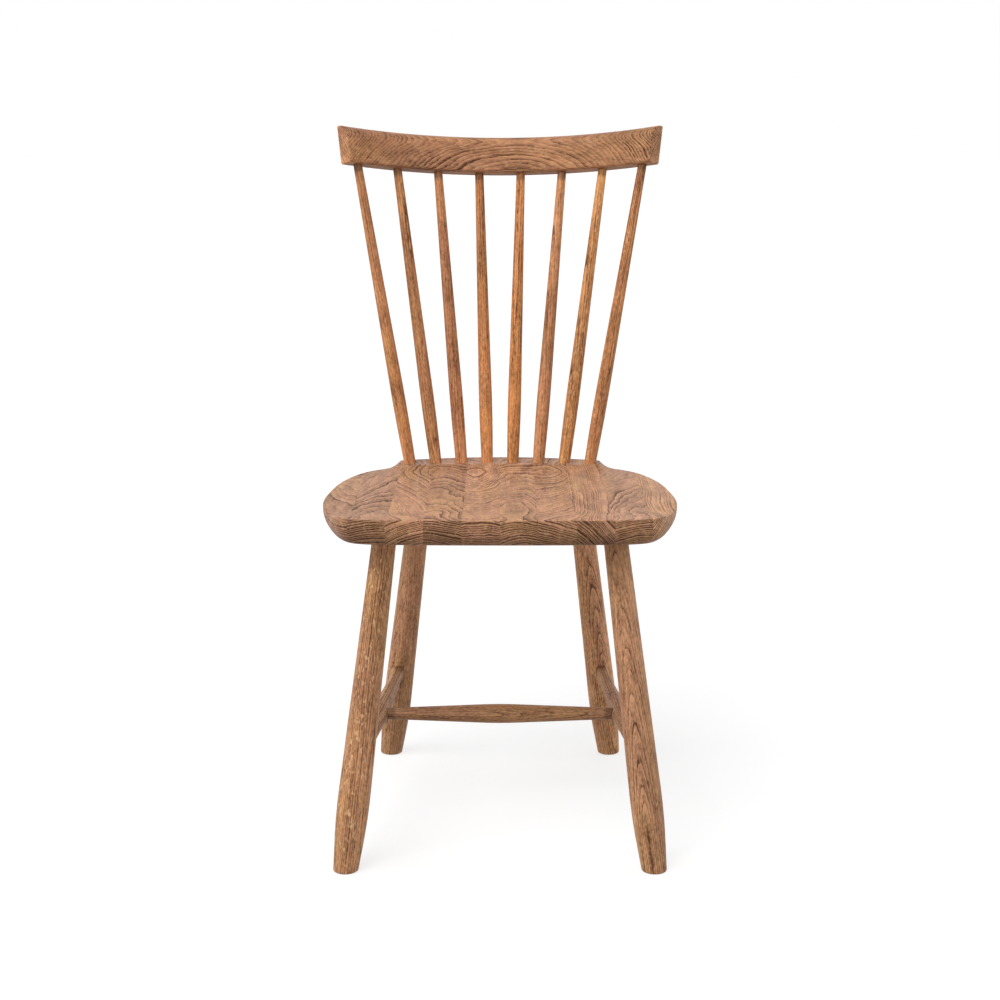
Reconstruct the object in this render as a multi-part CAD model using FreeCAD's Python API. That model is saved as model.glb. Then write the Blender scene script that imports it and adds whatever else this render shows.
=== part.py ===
import FreeCAD, Part
import math
import os

from FreeCAD import Rotation, Vector

# Windsor chair in millimetres. +Z is up, the sitter faces -Y, and the origin lies on the floor
# under the middle of the whole chair.

# Seat blank
seat_height = 438.0
seat_width = 438.0
seat_depth = 400.5
seat_thickness = 31.5
seat_front_y = -249.5
stave_count = 10
blank_trim = 8.0
seat_edge_round_in = 10.0
seat_edge_round_up = 18.5
seat_arris_round = 1.3

# Carved dish of the seat
dish_depth = 7.0
dish_bowl = 2.5
bowl_middle = 220.0
bowl_half_width = 195.0
bowl_half_length = 175.0
side_fall = 2.5
side_fall_width = 20.0
dish_front_slope = 95.0
dish_step = 19.0
deck_margin = 16.5
deck_end_margin = 12.5

# Spindles
spindle_count = 8
spindle_pitch = 34.7
spindle_row_inset = 35.5
spindle_row_radius = 1050.0
spindle_base_diameter = 15.6
spindle_swell_diameter = 18.4
spindle_swell_height = 72.0
spindle_top_diameter = 11.6
spindle_seat_tenon = 16.0
spindle_rail_tenon = 26.0
spindle_rail_pitch = 56.6

# Crest rail
back_rise = 380.0
back_lean = 15.9
rail_lean = 17.5
rail_radius = 430.0
rail_half_arc = 215.2
rail_height = 52.3
rail_thickness = 22.0
rail_front_roll = 19.5
rail_edge_round = 3.5
rail_rear_round = 1.2
rail_end_round = 1.5
rail_end_bevel = 11.5
rail_end_flare = 7.7

# Legs
front_leg_side_inset = 81.6
front_leg_edge_inset = 58.0
front_leg_splay_out = 50.1
front_leg_splay_forward = 42.0
rear_leg_side_inset = 114.0
rear_leg_edge_inset = 59.5
rear_leg_splay_out = 51.4
rear_leg_splay_back = 95.0
leg_foot_diameter = 30.4
leg_belly_diameter = 39.8
leg_belly_height = 68.0
leg_belly_round = 30.0
leg_top_diameter = 29.0
leg_foot_round = 2.0
leg_tenon_diameter = 24.0
leg_socket_floor = 6.0

# Stretchers
front_joint_height = 135.0
rear_joint_height = 138.0
side_stretcher_diameter = 24.0
side_stretcher_end = 14.0
side_stretcher_tenon = 15.0
cross_stretcher_diameter = 25.6
cross_stretcher_end = 14.8
cross_stretcher_tenon = 8.5
cross_stretcher_ahead = 15.0
stretcher_middle_round = 22.0

# Glue clearance around each round tenon and below its end
glue_gap = 0.1
socket_spare = 0.5

# Points that steer the carved surface, and how far it runs past the seat on every side
carving_columns = 44
carving_rows = 66
carving_overhang = 15.0

# Lengths below this count as nothing when edges are picked out by their place
tiny = 0.01

# Values that follow from the sizes above
seat_rear_y = seat_front_y + seat_depth
underside = seat_height - seat_thickness
half_width = seat_width / 2
spindle_row_y = seat_rear_y - spindle_row_inset
lean = math.radians(rail_lean)
rail_foot_y = spindle_row_y + back_rise * math.tan(math.radians(back_lean))
rail_foot = Vector(0, rail_foot_y, seat_height + back_rise)
beyond = 2 * (seat_width + seat_depth + seat_height)

os.makedirs("parts", exist_ok=True)


def smooth(t):
    t = min(max(t, 0.0), 1.0)
    return t * t * (3 - 2 * t)


def unit(v):
    return v * (1 / v.Length)


def save(name, shape):
    shape.exportStep("parts/" + name + ".step")


def rod(start, direction, length, diameter):
    return Part.makeCylinder(diameter / 2, length, start, direction)


def axis_turn(direction):
    """The axis and angle that turn an upright piece to point along a direction."""
    turn = Rotation(Vector(0, 0, 1), direction)
    return turn.Axis, math.degrees(turn.Angle)


def beyond_plane(point, normal):
    """Everything on the side of a plane that its normal points to."""
    block = Part.makeBox(beyond, beyond, beyond, Vector(-beyond / 2, -beyond / 2, 0))
    block.rotate(Vector(0, 0, 0), *axis_turn(normal))
    block.translate(point)
    return block


def turned(start, end, stations):
    """A lathe-turned piece. Each station is its distance from start, its diameter and the
    length over which the two tapers that meet there are rounded into each other."""
    corners = [Vector(diameter / 2, 0, along) for along, diameter, rounding in stations]
    edges = []
    here = corners[0]
    for index in range(1, len(corners) - 1):
        corner = corners[index]
        tangent = stations[index][2]
        before = unit(corner - corners[index - 1])
        after = unit(corners[index + 1] - corner)
        half_turn = before.getAngle(after) / 2
        radius = tangent / math.tan(half_turn)
        depth = radius * (1 / math.cos(half_turn) - 1)
        enter = corner - before * tangent
        leave = corner + after * tangent
        edges.append(Part.LineSegment(here, enter).toShape())
        edges.append(Part.Arc(enter, corner + unit(after - before) * depth, leave).toShape())
        here = leave
    edges.append(Part.LineSegment(here, corners[-1]).toShape())
    edges.append(Part.LineSegment(corners[-1], Vector(0, 0, corners[-1].z)).toShape())
    edges.append(Part.LineSegment(Vector(0, 0, corners[-1].z), Vector(0, 0, corners[0].z)).toShape())
    edges.append(Part.LineSegment(Vector(0, 0, corners[0].z), corners[0]).toShape())
    solid = Part.Face(Part.Wire(edges)).revolve(Vector(0, 0, 0), Vector(0, 0, 1), 360)
    solid.rotate(Vector(0, 0, 0), *axis_turn(end - start))
    solid.translate(start)
    return solid


# Seat outline: the right half from the middle of the front edge to the middle of the rear edge.
# Each point is its inset from the widest side and its distance from the front or the rear edge.
front_outline = [(92.0, 2.5), (57.0, 6.5), (38.5, 15.0), (27.0, 31.0), (15.5, 63.0), (7.0, 98.0),
                 (0.0, 150.0)]
rear_outline = [(3.5, 184.0), (10.0, 137.5), (21.0, 98.0), (39.5, 59.5), (69.0, 32.0), (102.0, 17.5),
                (148.0, 6.5)]


def outline_half(side):
    points = [Vector(0, seat_front_y, 0)]
    for inset, gap in front_outline:
        points.append(Vector(side * (half_width - inset), seat_front_y + gap, 0))
    for inset, gap in rear_outline:
        points.append(Vector(side * (half_width - inset), seat_rear_y - gap, 0))
    points.append(Vector(0, seat_rear_y, 0))
    curve = Part.BSplineCurve()
    across = Vector(side, 0, 0)
    curve.interpolate(Points=points, InitialTangent=across, FinalTangent=across * -1)
    return curve.toShape()


# Spindle places: the row on the seat follows a slight curve, and the tops follow the rail's arc
def spindle_base(index):
    x = (index - (spindle_count - 1) / 2) * spindle_pitch
    return Vector(x, spindle_row_y - x * x / (2 * spindle_row_radius), seat_height)


def on_rail(arc, inward, height):
    """A point given along the rail's middle arc, towards its back face and up its lean."""
    angle = arc / rail_radius
    x = (rail_radius + inward) * math.sin(angle)
    back = (rail_radius + inward) * math.cos(angle) - rail_radius
    y = back * math.cos(lean) + height * math.sin(lean)
    z = height * math.cos(lean) - back * math.sin(lean)
    return rail_foot + Vector(x, y, z)


def spindle_top(index):
    return on_rail((index - (spindle_count - 1) / 2) * spindle_rail_pitch, 0, 0)


# Carved top of the seat: full height at the front arris, dished behind it, rising to the ridge
# in front of the spindles, and falling a little more towards the two soft side edges. Behind
# the ridge the surface runs on above the flat deck that the spindles stand on.
row_half_length = (spindle_count - 1) / 2 * spindle_pitch
outline_curve = outline_half(1).Curve


def inside_edge(x, y):
    """Distance of a point of the seat from its outline, and 0 outside it."""
    point = Vector(abs(x), y, 0)
    nearest = outline_curve.value(outline_curve.parameter(point))
    middle = Vector(0, (seat_front_y + seat_rear_y) / 2, 0)
    if (point - middle).Length > (nearest - middle).Length:
        return 0.0
    return (point - nearest).Length


def seat_top(x, y):
    aside = max(abs(x) - row_half_length, 0.0) * deck_margin / deck_end_margin
    along = min(abs(x), row_half_length)
    ahead = max(spindle_row_y - along ** 2 / (2 * spindle_row_radius) - y, 0.0)
    from_ridge = (math.hypot(aside, ahead) - deck_margin) / dish_step
    from_ridge = min(max(from_ridge, -0.6), 1.0)
    off_deck = from_ridge * (2 - max(from_ridge, 0.0))
    off_front = smooth((y - seat_front_y) / dish_front_slope)
    middle_y = seat_front_y + bowl_middle
    reach = math.hypot(x / bowl_half_width, (y - middle_y) / bowl_half_length)
    bowl = dish_bowl * (1 - smooth(reach))
    roll = side_fall * (1 - smooth(inside_edge(x, y) / side_fall_width))
    return seat_height - off_deck * off_front * (dish_depth + bowl + roll)


def clamped(poles, degree):
    """Multiplicities and knots of an evenly spaced curve direction with its ends held."""
    spans = poles - degree
    return [degree + 1] + [1] * (spans - 1) + [degree + 1], list(range(spans + 1))


def carving_tool(squash):
    """What the carver takes away, everything above the dished surface, with its heights above
    the underside of the seat squashed."""
    width = seat_width + 2 * carving_overhang
    depth = seat_depth + 2 * carving_overhang
    grid = []
    for column in range(carving_columns):
        x = (column / (carving_columns - 1) - 0.5) * width
        line = []
        for row in range(carving_rows):
            y = seat_front_y - carving_overhang + row / (carving_rows - 1) * depth
            line.append(Vector(x, y, (seat_top(x, y) - underside) * squash))
        grid.append(line)
    degree = 3
    across_mults, across_knots = clamped(carving_columns, degree)
    along_mults, along_knots = clamped(carving_rows, degree)
    surface = Part.BSplineSurface()
    surface.buildFromPolesMultsKnots(
        grid, across_mults, along_mults, across_knots, along_knots, False, False, degree, degree)
    return surface.toShape().extrude(Vector(0, 0, seat_thickness))


def on_arris(edge):
    """Whether an edge of the squashed seat runs along its upper outline."""
    middle = edge.valueAt((edge.FirstParameter + edge.LastParameter) / 2)
    low = middle.z < seat_edge_round_in + tiny
    upright = edge.BoundBox.ZLength > edge.Length / 2
    return not low and not upright and inside_edge(middle.x, middle.y) < tiny


def seat_body():
    """The seat is shaped with its heights squashed and then stretched to full height, which
    turns the round fillet of its lower edge into a rounding that is taller than it is deep."""
    squash = seat_edge_round_in / seat_edge_round_up
    outline = Part.Wire([outline_half(1), outline_half(-1)])
    blank = Part.Face(outline).extrude(Vector(0, 0, seat_thickness))
    low_edges = [e for e in blank.Edges if e.BoundBox.ZMax < tiny]
    body = blank.makeFillet(seat_edge_round_in, low_edges).cut(carving_tool(squash))
    deck = Vector(0, 0, (seat_height - underside) * squash)
    body = body.cut(beyond_plane(deck, Vector(0, 0, 1)))
    arris = [e for e in body.Edges if on_arris(e)]
    body = body.makeFillet(seat_arris_round, arris)
    stretch = FreeCAD.Matrix()
    stretch.scale(1, 1, 1 / squash)
    body = body.transformGeometry(stretch)
    body.translate(Vector(0, 0, underside))
    return body


# Legs: each runs from its foot on the floor to its socket in the underside of the seat
def leg_ends(side, front):
    if front:
        x = half_width - front_leg_side_inset
        y = seat_front_y + front_leg_edge_inset
        foot_x = x + front_leg_splay_out
        foot_y = y - front_leg_splay_forward
    else:
        x = half_width - rear_leg_side_inset
        y = seat_rear_y - rear_leg_edge_inset
        foot_x = x + rear_leg_splay_out
        foot_y = y + rear_leg_splay_back
    return Vector(side * foot_x, foot_y, 0), Vector(side * x, y, underside)


leg_tenon_length = seat_thickness - dish_depth - dish_bowl - leg_socket_floor


def leg_tenon(foot, top, clearance, spare):
    up = unit(top - foot)
    return rod(top - up * leg_top_diameter, up, leg_top_diameter + leg_tenon_length + spare,
               leg_tenon_diameter + 2 * clearance)


def leg(side, front):
    foot, top = leg_ends(side, front)
    up = unit(top - foot)
    length = (top - foot).Length
    extra = leg_top_diameter / 2
    narrowing = (leg_belly_diameter - leg_foot_diameter) / leg_belly_height
    taper = (leg_belly_diameter - leg_top_diameter) / (length - leg_belly_height)
    stations = [(-extra, leg_foot_diameter - narrowing * extra, 0),
                (leg_belly_height, leg_belly_diameter, leg_belly_round),
                (length + extra, leg_top_diameter - taper * extra, 0)]
    body = turned(foot, top, stations)
    body = body.cut(beyond_plane(Vector(0, 0, 0), Vector(0, 0, -1)))
    body = body.cut(beyond_plane(Vector(0, 0, underside), Vector(0, 0, 1)))
    sole = [e for e in body.Edges if e.BoundBox.ZMax < tiny]
    body = body.makeFillet(leg_foot_round, sole)
    return body.fuse(leg_tenon(foot, top, 0, 0)).removeSplitter()


# Stretchers: their tenons end inside the pieces that they join
def at_height(foot, top, height):
    return foot + (top - foot) * (height / top.z)


def leg_diameter_at(foot, top, height):
    along = (top - foot).Length * height / top.z
    taper = (leg_belly_diameter - leg_top_diameter) / ((top - foot).Length - leg_belly_height)
    return leg_belly_diameter - taper * (along - leg_belly_height)


def side_stretcher_ends(side):
    front = at_height(*leg_ends(side, True), front_joint_height)
    rear = at_height(*leg_ends(side, False), rear_joint_height)
    along = unit(rear - front)
    front_skin = leg_diameter_at(*leg_ends(side, True), front_joint_height) / 2
    rear_skin = leg_diameter_at(*leg_ends(side, False), rear_joint_height) / 2
    start = front + along * (front_skin - side_stretcher_tenon)
    end = rear - along * (rear_skin - side_stretcher_tenon)
    return start, end


def cigar(start, end, end_diameter, middle_diameter, tenon, ahead):
    """A stretcher that swells from its two tenons to its thickest place, near its middle."""
    length = (end - start).Length
    return turned(start, end, [
        (0, end_diameter, 0),
        (tenon, end_diameter, tenon / 2),
        (length / 2 - ahead, middle_diameter, stretcher_middle_round),
        (length - tenon, end_diameter, tenon / 2),
        (length, end_diameter, 0)])


def cross_stretcher_ends():
    ends = []
    for side in (-1, 1):
        start, end = side_stretcher_ends(side)
        ends.append((start + end) / 2 - unit(end - start) * cross_stretcher_ahead)
    across = unit(ends[1] - ends[0])
    inset = side_stretcher_diameter / 2 - cross_stretcher_tenon
    return ends[0] + across * inset, ends[1] - across * inset


def socket(tip, inward, length, diameter):
    """The blind hole for a tenon: inward points from the tip of the tenon back out of the hole."""
    return rod(tip - inward * socket_spare, inward, length + socket_spare, diameter + 2 * glue_gap)


# Spindles
def spindle_line(index):
    base = spindle_base(index)
    top = spindle_top(index)
    return base, top, unit(top - base)


def spindle(index):
    base, top, up = spindle_line(index)
    length = (top - base).Length
    start = base - up * spindle_seat_tenon
    return turned(start, top + up * spindle_rail_tenon, [
        (0, spindle_base_diameter, 0),
        (spindle_seat_tenon, spindle_base_diameter, spindle_seat_tenon / 2),
        (spindle_seat_tenon + spindle_swell_height, spindle_swell_diameter, spindle_swell_height / 2),
        (spindle_seat_tenon + length, spindle_top_diameter, spindle_rail_tenon / 2),
        (spindle_seat_tenon + length + spindle_rail_tenon, spindle_top_diameter, 0)])


def spindle_sockets(index):
    base, top, up = spindle_line(index)
    proud = spindle_base_diameter
    low = socket(base - up * spindle_seat_tenon, up, spindle_seat_tenon + proud, spindle_base_diameter)
    high = socket(top + up * spindle_rail_tenon, up * -1, spindle_rail_tenon + proud, spindle_top_diameter)
    return low, high


# Crest rail: a curved board leaning back, its front top edge rolled over to the back
def arcs_of(board, radius):
    """The long level edges of a curved board that follow a given radius."""
    level = [e for e in board.Edges if e.Length > rail_half_arc and e.BoundBox.ZLength < tiny]
    return [e for e in level if abs(e.Curve.Radius - radius) < tiny]


def rail_board():
    inner = rail_radius - rail_thickness / 2
    outer = rail_radius + rail_thickness / 2
    reach = (rail_half_arc + rail_thickness + rail_height) / rail_radius
    front_arc = []
    back_arc = []
    for angle in (-reach, 0, reach):
        sine = math.sin(angle)
        cosine = math.cos(angle)
        front_arc.append(Vector(inner * sine, inner * cosine - rail_radius, 0))
        back_arc.append(Vector(outer * sine, outer * cosine - rail_radius, 0))
    section = Part.Wire([
        Part.Arc(*front_arc).toShape(),
        Part.LineSegment(front_arc[2], back_arc[2]).toShape(),
        Part.Arc(*back_arc).toShape(),
        Part.LineSegment(back_arc[0], front_arc[0]).toShape()])
    board = Part.Face(section).extrude(Vector(0, 0, rail_height))
    front_top = [e for e in arcs_of(board, inner) if e.BoundBox.ZMax > rail_height / 2]
    rolled = board.makeFillet(rail_front_roll, front_top)
    rear_top = [e for e in arcs_of(rolled, outer) if e.BoundBox.ZMax > rail_height / 2]
    eased = rolled.makeFillet(rail_rear_round, rear_top)
    low = [e for e in arcs_of(eased, inner) + arcs_of(eased, outer) if e.BoundBox.ZMax < rail_height / 2]
    return eased.makeFillet(rail_edge_round, low)


def rail_end_cut(side):
    """The saw cut at one end: it leaves the back longer than the front and flares upwards."""
    angle = side * rail_half_arc / rail_radius
    middle = Vector(rail_radius * math.sin(angle), rail_radius * (math.cos(angle) - 1), 0)
    outward = Vector(side * math.cos(angle), -side * math.sin(angle), 0)
    backward = Vector(math.sin(angle), math.cos(angle), 0)
    across = backward + outward * math.tan(math.radians(rail_end_bevel))
    upward = Vector(0, 0, 1) + outward * math.tan(math.radians(rail_end_flare))
    normal = across.cross(upward) * side
    return beyond_plane(middle, unit(normal))


def crest_rail():
    rail = rail_board()
    for side in (-1, 1):
        rail = rail.cut(rail_end_cut(side))
    end_edges = [e for e in rail.Edges if e.BoundBox.XMin * e.BoundBox.XMax > 0]
    rail = rail.makeFillet(rail_end_round, end_edges)
    rail.rotate(Vector(0, 0, 0), Vector(1, 0, 0), -rail_lean)
    rail.translate(rail_foot)
    return rail


# The seat with all its sockets, then sawn along its glue lines into the staves it is made of
seat = seat_body()
rail = crest_rail()
for index in range(spindle_count):
    low, high = spindle_sockets(index)
    seat = seat.cut(low)
    rail = rail.cut(high)
    save("spindle_" + str(index + 1), spindle(index))
save("crest_rail", rail)

for side, hand in ((-1, "left"), (1, "right")):
    start, end = side_stretcher_ends(side)
    along = unit(end - start)
    for front, place in ((True, "front"), (False, "rear")):
        foot, top = leg_ends(side, front)
        seat = seat.cut(leg_tenon(foot, top, glue_gap, socket_spare))
        tip, outward = (start, along) if front else (end, along * -1)
        hole = socket(tip, outward, side_stretcher_tenon + leg_belly_diameter, side_stretcher_end)
        save("leg_" + place + "_" + hand, leg(side, front).cut(hole))
    stretcher = cigar(start, end, side_stretcher_end, side_stretcher_diameter, side_stretcher_tenon,
                      cross_stretcher_ahead)
    cross_start, cross_end = cross_stretcher_ends()
    tip, inward = (cross_start, Vector(1, 0, 0)) if side < 0 else (cross_end, Vector(-1, 0, 0))
    hole = socket(tip, inward, cross_stretcher_tenon + side_stretcher_diameter, cross_stretcher_end)
    save("side_stretcher_" + hand, stretcher.cut(hole))

save("cross_stretcher", cigar(*cross_stretcher_ends(), cross_stretcher_end, cross_stretcher_diameter,
                              cross_stretcher_tenon, 0))

stave_width = (seat_width + blank_trim) / stave_count
for index in range(stave_count):
    left = (index - stave_count / 2) * stave_width
    first = index == 0
    last = index == stave_count - 1
    slab_left = -beyond if first else left
    slab_right = beyond if last else left + stave_width
    slab = Part.makeBox(slab_right - slab_left, beyond, beyond, Vector(slab_left, -beyond / 2, 0))
    save("seat_stave_" + str(index + 1), seat.common(slab))
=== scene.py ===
import math

import bpy
from mathutils import Matrix, Vector


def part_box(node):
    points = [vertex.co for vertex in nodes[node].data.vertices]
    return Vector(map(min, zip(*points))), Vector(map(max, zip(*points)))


# Windsor chair: the CAD nodes as they are, in oiled oak, on a studio floor. Lengths are in metres
# unless a comment says mm.
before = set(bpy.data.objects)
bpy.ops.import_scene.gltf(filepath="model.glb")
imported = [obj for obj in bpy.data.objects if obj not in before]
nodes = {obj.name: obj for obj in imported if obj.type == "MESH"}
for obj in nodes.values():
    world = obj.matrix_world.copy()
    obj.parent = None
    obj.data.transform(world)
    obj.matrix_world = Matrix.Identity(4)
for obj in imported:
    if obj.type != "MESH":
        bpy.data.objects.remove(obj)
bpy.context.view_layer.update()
MM = 0.001


# Small helpers for shader trees. A value is a number, a vector or a socket to link.
def feed(tree, target, value):
    if isinstance(value, bpy.types.NodeSocket):
        tree.links.new(value, target)
    else:
        target.default_value = value


def calc(tree, operation, *values, clamp=False):
    node = tree.nodes.new("ShaderNodeMath")
    node.operation = operation
    node.use_clamp = clamp
    for socket, value in zip(node.inputs, values):
        feed(tree, socket, value)
    return node.outputs[0]


def vector_calc(tree, operation, *values):
    node = tree.nodes.new("ShaderNodeVectorMath")
    node.operation = operation
    for socket, value in zip(node.inputs, values):
        feed(tree, socket, value)
    return node.outputs["Value" if operation in ("LENGTH", "DOT_PRODUCT") else "Vector"]


def noise(tree, place, stretch, detail=2.0, roughness=0.5, output=0):
    """Noise from 0 to 1 with its own frequency, in cycles per metre, along each axis."""
    node = tree.nodes.new("ShaderNodeTexNoise")
    feed(tree, node.inputs["Vector"], vector_calc(tree, "MULTIPLY", place, stretch))
    node.inputs["Scale"].default_value = 1.0
    node.inputs["Detail"].default_value = detail
    node.inputs["Roughness"].default_value = roughness
    return node.outputs[output]


def spread(tree, value, low, high, to_low=0.0, to_high=1.0, smooth=True):
    """The value moved from the range low to high into another one, and held at its ends."""
    node = tree.nodes.new("ShaderNodeMapRange")
    node.interpolation_type = "SMOOTHSTEP" if smooth else "LINEAR"
    for name, item in (("Value", value), ("From Min", low), ("From Max", high),
                       ("To Min", to_low), ("To Max", to_high)):
        feed(tree, node.inputs[name], item)
    return node.outputs[0]


def ramp(tree, value, stops):
    """Levels at given places between 0 and 1, with straight runs between them."""
    node = tree.nodes.new("ShaderNodeValToRGB")
    feed(tree, node.inputs[0], value)
    elements = node.color_ramp.elements
    while len(elements) < len(stops):
        elements.new(0.5)
    for element, (position, level) in zip(elements, stops):
        element.position = position
        element.color = (level, level, level, 1.0)
    return node.outputs[0]


def blend(tree, kind, factor, first, second):
    node = tree.nodes.new("ShaderNodeMix")
    node.data_type = "RGBA"
    node.blend_type = kind
    feed(tree, node.inputs[0], factor)
    feed(tree, node.inputs[6], first)
    feed(tree, node.inputs[7], second)
    return node.outputs[2]


def grey(level):
    return (level, level, level, 1.0)


def linear(*screen):
    """A colour written as 0 to 255 on a screen, as the shaders need it."""
    levels = []
    for level in screen:
        level /= 255
        levels.append(level / 12.92 if level < 0.04045 else ((level + 0.055) / 1.055) ** 2.4)
    return (*levels, 1.0)


def shade(colour, tone):
    """The colour times a tone, which is one number or three."""
    tone = tone if isinstance(tone, tuple) else (tone, tone, tone)
    return (*(level * part for level, part in zip(colour, tone)), 1.0)


def oak_group():
    """Solid oak: growth rings round a pith line, with fibres, pores and rays, cut by the piece's own
    surface. It works in the grain's frame, in metres, with Z along the grain and the pith at 0, 0."""
    tree = bpy.data.node_groups.new("solid_oak", "ShaderNodeTree")
    face = tree.interface
    for name, kind in (("Place", "NodeSocketVector"), ("Ring spacing", "NodeSocketFloat"),
                       ("Wander", "NodeSocketFloat"), ("Ripple", "NodeSocketFloat"),
                       ("Lines", "NodeSocketFloat"), ("Grain", "NodeSocketFloat"),
                       ("Flecks", "NodeSocketFloat"), ("Breadth", "NodeSocketFloat"),
                       ("Painted shade", "NodeSocketFloat"),
                       ("Light wood", "NodeSocketColor"), ("Dark wood", "NodeSocketColor"),
                       ("End grain", "NodeSocketFloat"), ("End tone", "NodeSocketFloat")):
        face.new_socket(name, in_out="INPUT", socket_type=kind)
    for name, kind in (("Color", "NodeSocketColor"), ("Roughness", "NodeSocketFloat"),
                       ("Height", "NodeSocketFloat")):
        face.new_socket(name, in_out="OUTPUT", socket_type=kind)
    given = tree.nodes.new("NodeGroupInput").outputs
    result = tree.nodes.new("NodeGroupOutput").inputs
    place = given["Place"]
    end = spread(tree, given["End grain"], 0.35, 0.9)

    # The rings wander slowly along the grain, ripple, and have slightly ragged edges
    bent = place
    for stretch, detail, source, amount in (((6.0, 6.0, 2.4), 1.0, "Wander", 1.0),
                                            ((16.0, 16.0, 5.5), 1.0, "Wander", 0.35),
                                            ((42.0, 42.0, 13.0), 2.0, "Ripple", 1.0),
                                            ((170.0, 170.0, 60.0), 2.0, "Ripple", 0.4)):
        shake = noise(tree, place, stretch, detail, output=1)
        shake = vector_calc(tree, "SUBTRACT", shake, (0.5, 0.5, 0.5))
        shake = vector_calc(tree, "MULTIPLY", shake, (2.0 * amount, 2.0 * amount, 0.0))
        scaled = tree.nodes.new("ShaderNodeVectorMath")
        scaled.operation = "SCALE"
        feed(tree, scaled.inputs[0], shake)
        feed(tree, scaled.inputs["Scale"], given[source])
        bent = vector_calc(tree, "ADD", bent, scaled.outputs[0])
    parts = tree.nodes.new("ShaderNodeSeparateXYZ")
    feed(tree, parts.inputs[0], bent)
    x, y, along = parts.outputs
    radius = vector_calc(tree, "LENGTH", vector_calc(tree, "MULTIPLY", bent, (1.0, 1.0, 0.0)))

    # Each year's ring starts with a dark porous line that fades outwards, thin or wide, and ends
    # pale. No two are as wide or as strong, some stretches are calm, and end grain shows them most.
    uneven = tree.nodes.new("ShaderNodeTexNoise")
    uneven.noise_dimensions = "1D"
    feed(tree, uneven.inputs["W"], calc(tree, "MULTIPLY", radius, 90.0))
    uneven.inputs["Scale"].default_value = 1.0
    uneven.inputs["Detail"].default_value = 1.0
    count = calc(tree, "DIVIDE", radius, given["Ring spacing"])
    count = calc(tree, "ADD", count, calc(tree, "MULTIPLY", uneven.outputs[0], 2.2))
    phase = calc(tree, "FRACT", count)
    year = tree.nodes.new("ShaderNodeTexWhiteNoise")
    year.noise_dimensions = "1D"
    feed(tree, year.inputs["W"], calc(tree, "FLOOR", count))
    strength = spread(tree, year.outputs[0], 0.0, 1.0, 0.35, 1.15, False)
    calm = spread(tree, noise(tree, place, (20.0, 20.0, 6.0), 1.0), 0.38, 0.62, 0.5, 1.2)
    broken = spread(tree, noise(tree, place, (330.0, 330.0, 55.0), 2.0, 0.6), 0.3, 0.7, 0.5, 1.4, False)
    strength = calc(tree, "MULTIPLY", strength, calc(tree, "MULTIPLY", calm, broken))
    strength = calc(tree, "MULTIPLY", strength, spread(tree, end, 0.0, 1.0, 1.0, 2.3, False))
    thin = ramp(tree, phase,
                ((0.0, 0.8), (0.03, 1.0), (0.1, 0.5), (0.22, 0.1), (0.96, 0.0), (1.0, 0.8)))
    wide = ramp(tree, phase,
                ((0.0, 0.75), (0.08, 1.0), (0.24, 0.7), (0.48, 0.12), (0.9, 0.0), (1.0, 0.75)))
    breadth = calc(tree, "MAXIMUM", end, given["Breadth"])
    line = calc(tree, "ADD", calc(tree, "MULTIPLY", wide, breadth),
                calc(tree, "MULTIPLY", thin, calc(tree, "SUBTRACT", 1.0, breadth)))
    faint = ramp(tree, calc(tree, "FRACT", calc(tree, "MULTIPLY", count, 3.0)),
                 ((0.0, 0.8), (0.08, 1.0), (0.3, 0.3), (0.5, 0.0), (0.92, 0.0), (1.0, 0.8)))
    line = calc(tree, "MULTIPLY", calc(tree, "MULTIPLY_ADD", faint, 0.3, line), strength)
    pale = ramp(tree, phase, ((0.0, 0.0), (0.55, 0.0), (0.8, 1.0), (0.92, 0.7), (1.0, 0.0)))
    pale = calc(tree, "MULTIPLY", pale, strength)

    # What runs through all the wood, from its fibres to slow changes of colour
    fibre = noise(tree, place, (380.0, 380.0, 16.0), 3.0, 0.65)
    speck = noise(tree, place, (430.0, 430.0, 190.0), 2.0, 0.6)
    streak = noise(tree, place, (120.0, 120.0, 5.0), 2.0, 0.6)
    mottle = noise(tree, place, (65.0, 65.0, 26.0), 3.0, 0.6)
    broad = noise(tree, place, (13.0, 13.0, 4.0), 1.5)
    hue = noise(tree, place, (24.0, 24.0, 7.0), 1.0)
    pore = spread(tree, noise(tree, place, (500.0, 500.0, 38.0), 2.0, 0.6), 0.57, 0.66)
    pore = calc(tree, "MULTIPLY", pore, calc(tree, "MULTIPLY_ADD", line, 0.7, 0.3))
    pore = calc(tree, "MULTIPLY", pore, given["Grain"])

    # Rays run outwards from the pith and show as light flecks or fine dashes
    angle = calc(tree, "MULTIPLY", calc(tree, "ARCTAN2", y, x), 26.0)
    ray_place = tree.nodes.new("ShaderNodeCombineXYZ")
    for socket, value in zip(ray_place.inputs, (angle, calc(tree, "MULTIPLY", radius, 160.0),
                                               calc(tree, "MULTIPLY", along, 110.0))):
        feed(tree, socket, value)
    ray = tree.nodes.new("ShaderNodeTexNoise")
    feed(tree, ray.inputs["Vector"], ray_place.outputs[0])
    ray.inputs["Scale"].default_value = 1.0
    ray.inputs["Detail"].default_value = 2.0
    ray = calc(tree, "MULTIPLY", spread(tree, ray.outputs[0], 0.57, 0.66), given["Flecks"])

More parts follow.
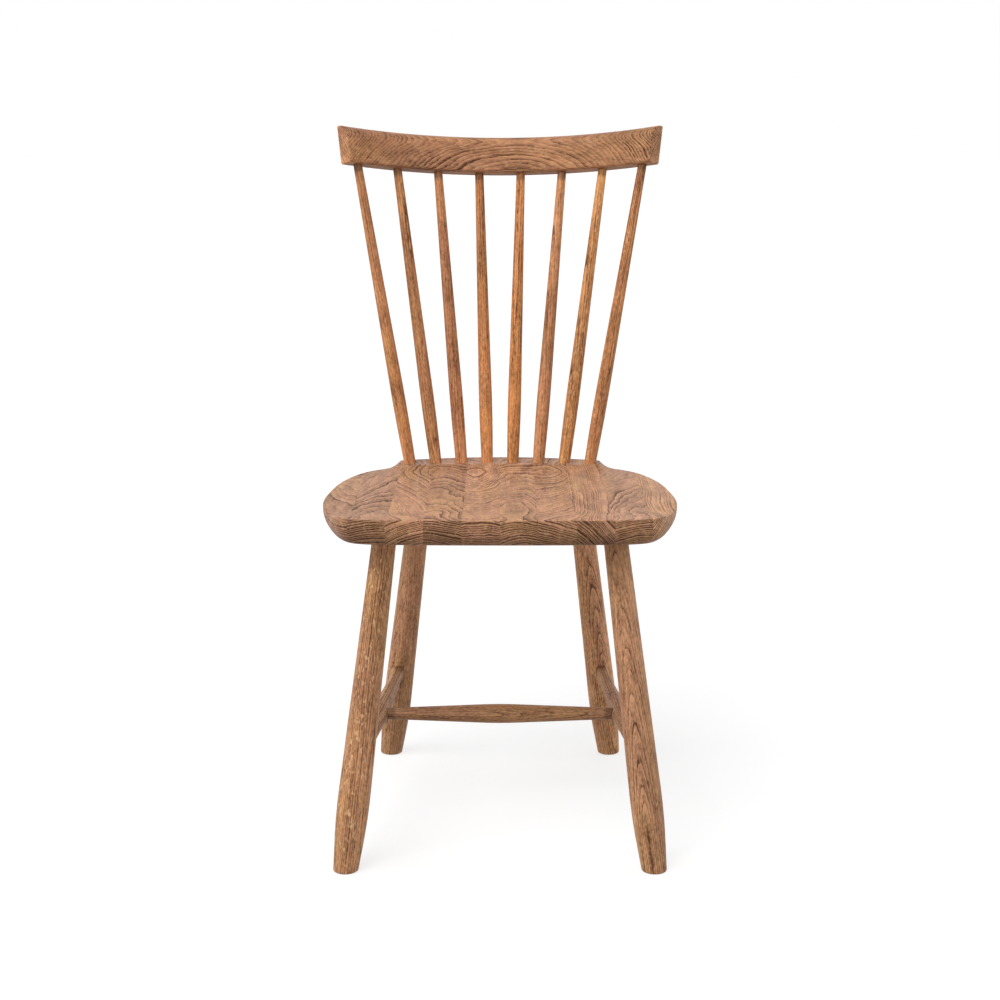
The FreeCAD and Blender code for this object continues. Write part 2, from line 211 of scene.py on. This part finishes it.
    # Colour: how far each point is from the light to the dark wood, then pores, rays, tint and tone
    depth = calc(tree, "MULTIPLY_ADD", line, given["Lines"], 0.3)
    rim = calc(tree, "MULTIPLY", pale, given["Lines"])
    depth = calc(tree, "SUBTRACT", depth, calc(tree, "MULTIPLY", rim, 0.35))
    fine = calc(tree, "MULTIPLY_ADD", fibre, 1.1, calc(tree, "MULTIPLY_ADD", speck, 1.5, -1.3))
    depth = calc(tree, "ADD", depth, calc(tree, "MULTIPLY", fine, given["Grain"]))
    depth = calc(tree, "ADD", depth, calc(tree, "MULTIPLY_ADD", mottle, 1.0, -0.5))
    depth = calc(tree, "ADD", depth, calc(tree, "MULTIPLY_ADD", streak, 0.7, -0.35), clamp=True)
    colour = blend(tree, "MIX", depth, given["Light wood"], given["Dark wood"])
    colour = blend(tree, "MULTIPLY", calc(tree, "MULTIPLY", pore, 0.5), colour, linear(118, 84, 60))
    colour = blend(tree, "SCREEN", calc(tree, "MULTIPLY", ray, 0.6), colour, linear(210, 168, 124))
    tint = blend(tree, "MIX", spread(tree, hue, 0.35, 0.65), linear(255, 251, 254), linear(255, 254, 244))
    colour = blend(tree, "MULTIPLY", 1.0, colour, tint)
    tone = spread(tree, broad, 0.25, 0.75, 0.78, 1.2, False)
    tone = calc(tree, "MULTIPLY", tone, spread(tree, end, 0.0, 1.0, 1.0, given["End tone"], False))
    # This input brings in the painted shade that each material computes
    tone = calc(tree, "MULTIPLY", tone, given["Painted shade"])
    level = tree.nodes.new("ShaderNodeCombineColor")
    for socket in level.inputs:
        feed(tree, socket, tone)
    colour = blend(tree, "MULTIPLY", 1.0, colour, level.outputs[0])
    feed(tree, result["Color"], colour)

    rough = calc(tree, "MULTIPLY_ADD", fibre, 0.16, 0.44)
    feed(tree, result["Roughness"], calc(tree, "MULTIPLY_ADD", line, 0.12, rough))
    height = calc(tree, "MULTIPLY_ADD", fibre, 0.5, calc(tree, "MULTIPLY", line, -0.5))
    feed(tree, result["Height"], calc(tree, "SUBTRACT", height, pore))
    return tree


oak = oak_group()


def oak_material(name, along, pith, shift, spacing, light, dark, wander, ripple, lines, grain, breadth,
                 end_tone, flecks=0.3, painted_shades=()):
    """Oak for one piece. along is its grain direction, pith a point of the pith line, and shift, in
    metres, picks its own stretch of the wood. spacing, wander and ripple are in mm. Each painted
    shade is a direction, where on it the colour starts and stops growing lighter, and the tone it
    starts with; the darkening stands in for shade."""
    material = bpy.data.materials.new("oak_" + name)
    material.use_nodes = True
    tree = material.node_tree
    tree.nodes.clear()
    along = Vector(along).normalized()
    helper = Vector((0, 0, 1)) if abs(along.z) < 0.8 else Vector((0, 1, 0))
    across = helper.cross(along).normalized()
    turn = Matrix((across, along.cross(across), along))
    where = tree.nodes.new("ShaderNodeTexCoord")
    mapping = tree.nodes.new("ShaderNodeMapping")
    mapping.inputs["Rotation"].default_value = turn.to_euler("XYZ")
    mapping.inputs["Location"].default_value = -(turn @ Vector(pith)) + Vector((0, 0, shift))
    feed(tree, mapping.inputs["Vector"], where.outputs["Object"])
    surface = tree.nodes.new("ShaderNodeNewGeometry")
    end = calc(tree, "ABSOLUTE", vector_calc(tree, "DOT_PRODUCT", surface.outputs["Normal"], tuple(along)))
    # Painted shade: the colour is darkened towards the start of each given direction, standing in for shade
    tone = 1.0
    for direction, start, stop, level in painted_shades:
        distance = vector_calc(tree, "DOT_PRODUCT", where.outputs["Object"], tuple(direction))
        tone = calc(tree, "MULTIPLY", tone, spread(tree, distance, start, stop, level, 1.0))
    group = tree.nodes.new("ShaderNodeGroup")
    group.node_tree = oak
    for key, value in (("Place", mapping.outputs[0]), ("Ring spacing", spacing * MM),
                       ("Wander", wander * MM), ("Ripple", ripple * MM), ("Lines", lines),
                       ("Grain", grain), ("Flecks", flecks), ("Breadth", breadth), ("Painted shade", tone),
                       ("Light wood", light), ("Dark wood", dark),
                       ("End grain", end), ("End tone", end_tone)):
        feed(tree, group.inputs[key], value)
    bump = tree.nodes.new("ShaderNodeBump")
    bump.inputs["Strength"].default_value = 0.35
    bump.inputs["Distance"].default_value = 0.25 * MM
    feed(tree, bump.inputs["Height"], group.outputs["Height"])
    shader = tree.nodes.new("ShaderNodeBsdfPrincipled")
    shader.inputs["Specular IOR Level"].default_value = 0.2
    feed(tree, shader.inputs["Base Color"], group.outputs["Color"])
    feed(tree, shader.inputs["Roughness"], group.outputs["Roughness"])
    feed(tree, shader.inputs["Normal"], bump.outputs[0])
    output = tree.nodes.new("ShaderNodeOutputMaterial")
    feed(tree, output.inputs["Surface"], shader.outputs[0])
    return material


def dress(node, material):
    """Gives a CAD node its material, in the slots that it has."""
    piece = nodes[node]
    if not piece.material_slots:
        piece.data.materials.append(material)
    for slot in piece.material_slots:
        slot.material = material


END_SHARE = 0.04


def ends_of(node, axis):
    """Middles of the two ends of a long piece, found from its own points near them."""
    points = [v.co for v in nodes[node].data.vertices]
    low = min(p[axis] for p in points)
    high = max(p[axis] for p in points)
    reach = (high - low) * END_SHARE
    first = [p for p in points if p[axis] < low + reach]
    last = [p for p in points if p[axis] > high - reach]
    return sum(first, Vector()) / len(first), sum(last, Vector()) / len(last)


# Seat staves, left to right: pith aside and below the stave's top middle in mm, lift and swing of
# the grain in degrees, ring spacing in mm, tone, end tone
SEAT_LIGHT = linear(213, 160, 121)
SEAT_DARK = linear(98, 63, 43)
STAVES = [
    (40, 120, 4.0, 2.0, 3.4, 0.88, 0.84),
    (15, 130, -6.0, 1.0, 3.0, 0.92, 0.80),
    (60, 120, 5.0, -3.0, 3.2, 0.97, 1.05),
    (-10, 120, -7.0, 1.5, 2.5, 0.96, 0.84),
    (0, 90, 9.0, -1.0, 2.5, 1.08, 0.84),
    (6, 95, -5.0, 1.0, 2.8, 0.96, 0.90),
    (-12, 100, 6.0, 2.5, 2.8, 0.99, 0.86),
    (-95, 105, 3.0, -2.5, 3.4, 0.99, 0.70),
    (30, 160, -6.0, 1.5, 2.5, 0.98, 0.92),
    (100, 90, 4.0, 2.0, 3.0, 1.02, 0.95),
]
# The next stave is cut this much further along the wood, in metres
STAVE_SHIFT = 0.83
# Painted shade: the colour is darker low on the seat's edge and underside, and on the deck from the ridge to
# the rear
LOW_SHADE_REACH, LOW_SHADE_TONE = 0.03, 0.72
RIDGE_Y, DECK_Y, DECK_SHADE_TONE = 0.068, 0.1, 0.84
for number, (aside, below, lift, swing, spacing, tone, end_tone) in enumerate(STAVES, 1):
    node = "seat_stave_%d" % number
    low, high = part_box(node)
    lift, swing = math.radians(lift), math.radians(swing)
    along = (math.sin(swing), math.cos(swing) * math.cos(lift), math.sin(lift))
    pith = Vector(((low.x + high.x) / 2 + aside * MM, (low.y + high.y) / 2, high.z - below * MM))
    # Painted shade low on each stave and on the rear of the deck
    painted_shades = [((0, 0, 1), low.z, low.z + LOW_SHADE_REACH, LOW_SHADE_TONE), ((0, -1, 0), -DECK_Y, -RIDGE_Y, DECK_SHADE_TONE)]
    dress(node, oak_material(
        node, along, pith, STAVE_SHIFT * number, spacing, shade(SEAT_LIGHT, tone), shade(SEAT_DARK, tone),
        wander=16.0, ripple=2.1, lines=1.0, grain=0.4, breadth=0.27, end_tone=end_tone, flecks=0.4,
        painted_shades=painted_shades))

# Crest rail: sawn to its curve from a thick plank, with the pith far behind and below it, in mm
RAIL_PITH_BEHIND = 137
RAIL_PITH_BELOW = 123
rail_low, rail_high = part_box("crest_rail")
rail_pith = (0, rail_high.y + RAIL_PITH_BEHIND * MM, rail_low.z - RAIL_PITH_BELOW * MM)
dress("crest_rail", oak_material(
    "crest_rail", (1, -0.033, 0.0), rail_pith, 6.6, 2.0, linear(203, 146, 105), linear(80, 48, 29),
    wander=9.0, ripple=1.6, lines=0.9, grain=0.5, breadth=0.75, end_tone=1.5))

# Turned pieces: axis that the piece runs along, pith aside and in front of its middle line in mm,
# tilt of the grain in degrees, ring spacing in mm, tone. The woods give light and dark colour,
# strength of the grain and breadth of the dark lines.
LEG_WOOD = (linear(208, 156, 115), linear(102, 65, 44), 0.95, 0.3)
SPINDLE_WOOD = (linear(224, 158, 105), linear(96, 55, 29), 0.85, 0.5)
TURNED = {
    "spindle_1": (2, 14, 16, 1.2, 2.2, (1.00, 0.97, 0.97)),
    "spindle_2": (2, -12, 20, -1.0, 2.4, (0.98, 1.00, 1.05)),
    "spindle_3": (2, 18, -10, 1.5, 2.0, (0.97, 0.94, 1.02)),
    "spindle_4": (2, -20, 12, 0.8, 2.3, (1.08, 1.02, 0.92)),
    "spindle_5": (2, 10, 22, -1.4, 2.5, (1.14, 1.06, 0.94)),
    "spindle_6": (2, -16, -14, 1.0, 2.1, (0.96, 0.98, 1.06)),
    "spindle_7": (2, 18, 15, 1.6, 2.4, (1.04, 1.07, 0.94)),
    "spindle_8": (2, -10, 20, -1.2, 2.2, (0.98, 0.92, 0.95)),
    "leg_front_left": (2, -34, 22, 1.8, 2.6, (1.05, 1.02, 0.96)),
    "leg_front_right": (2, 10, 40, 3.5, 2.4, 0.98),
    "leg_rear_left": (2, 22, 34, 2.8, 2.6, 1.00),
    # Painted light: the rear right leg's colour is lifted to 1.40 to make up for the light that the lamps
    # give it less of
    "leg_rear_right": (2, -12, 36, 3.2, 2.5, 1.40),
    "side_stretcher_left": (1, 20, 16, 1.0, 2.4, 0.80),
    "side_stretcher_right": (1, -20, 18, -1.2, 2.4, 0.85),
    "cross_stretcher": (0, 6, 26, 1.6, 2.4, 0.94),
}
# Strength of the ray flecks, where a piece shows many and elsewhere
FLECKS = {"leg_front_left": 1.0, "spindle_7": 0.9, "spindle_8": 0.7}
PLAIN_FLECKS = 0.3
# Length of each end that a joint hides, the length over which the colour next to it is darker, in mm,
# and the tone that this starts with. The darkening is painted shade where the pieces meet, and the crest
# rail's painted shadow at the top of each spindle
JOINT_SHADES = {"spindle": (0.0, 26.0, 7.0), "side": (15.0, 15.0, 24.0), "cross": (8.5, 8.5, 8.0)}
JOINT_SHADE_TONE = 0.5
# Where along the wood the first piece is cut, and how much further each next one, in metres
FIRST_SHIFT = 11
TURNED_SHIFT = 0.61
# The grain tilts forward, and sideways by this share of that
SIDE_TILT_SHARE = 0.4
for order, (node, (axis, aside, ahead, tilt, spacing, tone)) in enumerate(TURNED.items()):
    first, last = ends_of(node, axis)
    along = (last - first).normalized()
    sideways = along.cross(Vector((0, 1, 0)) if axis != 1 else Vector((0, 0, 1))).normalized()
    forward = along.cross(sideways).normalized()
    grain = (along + forward * math.tan(math.radians(tilt))
             + sideways * math.tan(math.radians(tilt * SIDE_TILT_SHARE)))
    pith = (first + last) / 2 + sideways * aside * MM + forward * ahead * MM
    # Painted shade next to each joint, and the crest rail's painted shadow at the top of each spindle
    painted_shades = []
    kind = node.split("_")[0]
    if kind in JOINT_SHADES:
        at_first, at_last, reach = (length * MM for length in JOINT_SHADES[kind])
        start, stop = first.dot(along) + at_first, last.dot(along) - at_last
        painted_shades = [(along, start, start + reach, JOINT_SHADE_TONE), (-along, -stop, -stop + reach, JOINT_SHADE_TONE)]
    light, dark, strength, breadth = SPINDLE_WOOD if kind == "spindle" else LEG_WOOD
    dress(node, oak_material(
        node, grain, pith, TURNED_SHIFT * order + FIRST_SHIFT, spacing, shade(light, tone), shade(dark, tone),
        wander=5.0, ripple=1.0, lines=0.68, grain=strength, breadth=breadth, end_tone=0.75,
        flecks=FLECKS.get(node, PLAIN_FLECKS), painted_shades=painted_shades))

# Smooth shading over the turned and carved surfaces, with crisp arrises
CRISP_ANGLE = math.radians(30)
for piece in nodes.values():
    piece.data.shade_smooth()
    piece.data.set_sharp_from_angle(angle=CRISP_ANGLE)


# Floor and background: white where the camera, a gloss or a glass sees them, and dimmer as light
# on the chair. The floor keeps the chair's shadow.
def seen_directly(tree):
    path = tree.nodes.new("ShaderNodeLightPath")
    seen = calc(tree, "MAXIMUM", path.outputs["Is Camera Ray"], path.outputs["Is Glossy Ray"])
    return calc(tree, "MAXIMUM", seen, path.outputs["Is Transmission Ray"])


def floor_material():
    """Grey that bounces some light onto the chair, and for the eye a darker grey with a glow of its
    own, which together come out white where no shadow falls."""
    material = bpy.data.materials.new("studio_floor")
    material.use_nodes = True
    tree = material.node_tree
    tree.nodes.clear()
    plain = tree.nodes.new("ShaderNodeBsdfDiffuse")
    plain.inputs["Color"].default_value = grey(0.5)
    shown = tree.nodes.new("ShaderNodeBsdfDiffuse")
    shown.inputs["Color"].default_value = grey(0.32)
    glow = tree.nodes.new("ShaderNodeEmission")
    glow.inputs["Strength"].default_value = 0.74
    both = tree.nodes.new("ShaderNodeAddShader")
    feed(tree, both.inputs[0], shown.outputs[0])
    feed(tree, both.inputs[1], glow.outputs[0])
    pick = tree.nodes.new("ShaderNodeMixShader")
    feed(tree, pick.inputs[0], seen_directly(tree))
    feed(tree, pick.inputs[1], plain.outputs[0])
    feed(tree, pick.inputs[2], both.outputs[0])
    output = tree.nodes.new("ShaderNodeOutputMaterial")
    feed(tree, output.inputs["Surface"], pick.outputs[0])
    return material


scene = bpy.context.scene
FLOOR_REACH = 30.0
FLOOR_HEIGHT = -0.4 * MM
floor_mesh = bpy.data.meshes.new("studio_floor")
corners = [(side * FLOOR_REACH, end * FLOOR_REACH, FLOOR_HEIGHT)
           for side, end in ((-1, -1), (1, -1), (1, 1), (-1, 1))]
floor_mesh.from_pydata(corners, [], [(0, 1, 2, 3)])
floor = bpy.data.objects.new("studio_floor", floor_mesh)
floor_mesh.materials.append(floor_material())
scene.collection.objects.link(floor)


def studio_world():
    """A dim even surround, and a white background for the eye."""
    world = bpy.data.worlds.new("studio")
    world.use_nodes = True
    tree = world.node_tree
    tree.nodes.clear()
    pick = tree.nodes.new("ShaderNodeMixShader")
    feed(tree, pick.inputs[0], seen_directly(tree))
    for socket, strength in ((pick.inputs[1], 0.3), (pick.inputs[2], 1.0)):
        background = tree.nodes.new("ShaderNodeBackground")
        background.inputs["Color"].default_value = grey(1.0)
        background.inputs["Strength"].default_value = strength
        feed(tree, socket, background.outputs[0])
    output = tree.nodes.new("ShaderNodeOutputWorld")
    feed(tree, output.inputs["Surface"], pick.outputs[0])
    return world


scene.world = studio_world()

# Soft lamps: the key from above, in front and a little to the left, one low from either side, which
# round off the legs and spindles, a weak broad one from the front right, and one from behind. Each
# has its name, the direction that it comes from, its strength and its breadth in degrees.
LAMPS = [
    ("key", (-0.55, -0.9, 1.4), 1.8, 40),
    ("side", (-1.6, -0.3, 0.35), 1.05, 32),
    ("rim", (1.5, 0.2, 0.3), 0.75, 35),
    ("fill", (0.75, -1.2, 0.25), 0.38, 60),
    ("back", (0.3, 1.0, 1.1), 0.4, 70),
]
LAMP_DISTANCE = 3
for name, source, energy, degrees in LAMPS:
    lamp = bpy.data.lights.new(name, "SUN")
    lamp.energy = energy
    lamp.angle = math.radians(degrees)
    holder = bpy.data.objects.new(name, lamp)
    holder.rotation_mode = "QUATERNION"
    holder.rotation_quaternion = Vector(source).to_track_quat("Z", "Y")
    holder.location = Vector(source) * LAMP_DISTANCE
    scene.collection.objects.link(holder)

# Camera at the photograph's viewing angle, 12 degrees down
lens = bpy.data.cameras.new("camera")
lens.sensor_width = 36.0
lens.lens = 65.48
camera = bpy.data.objects.new("camera", lens)
camera.location = (0.0, -2.3015, 0.899)
camera.rotation_euler = (math.radians(78.0), 0.0, 0.0)
scene.collection.objects.link(camera)
scene.camera = camera
scene.view_settings.view_transform = "Standard"
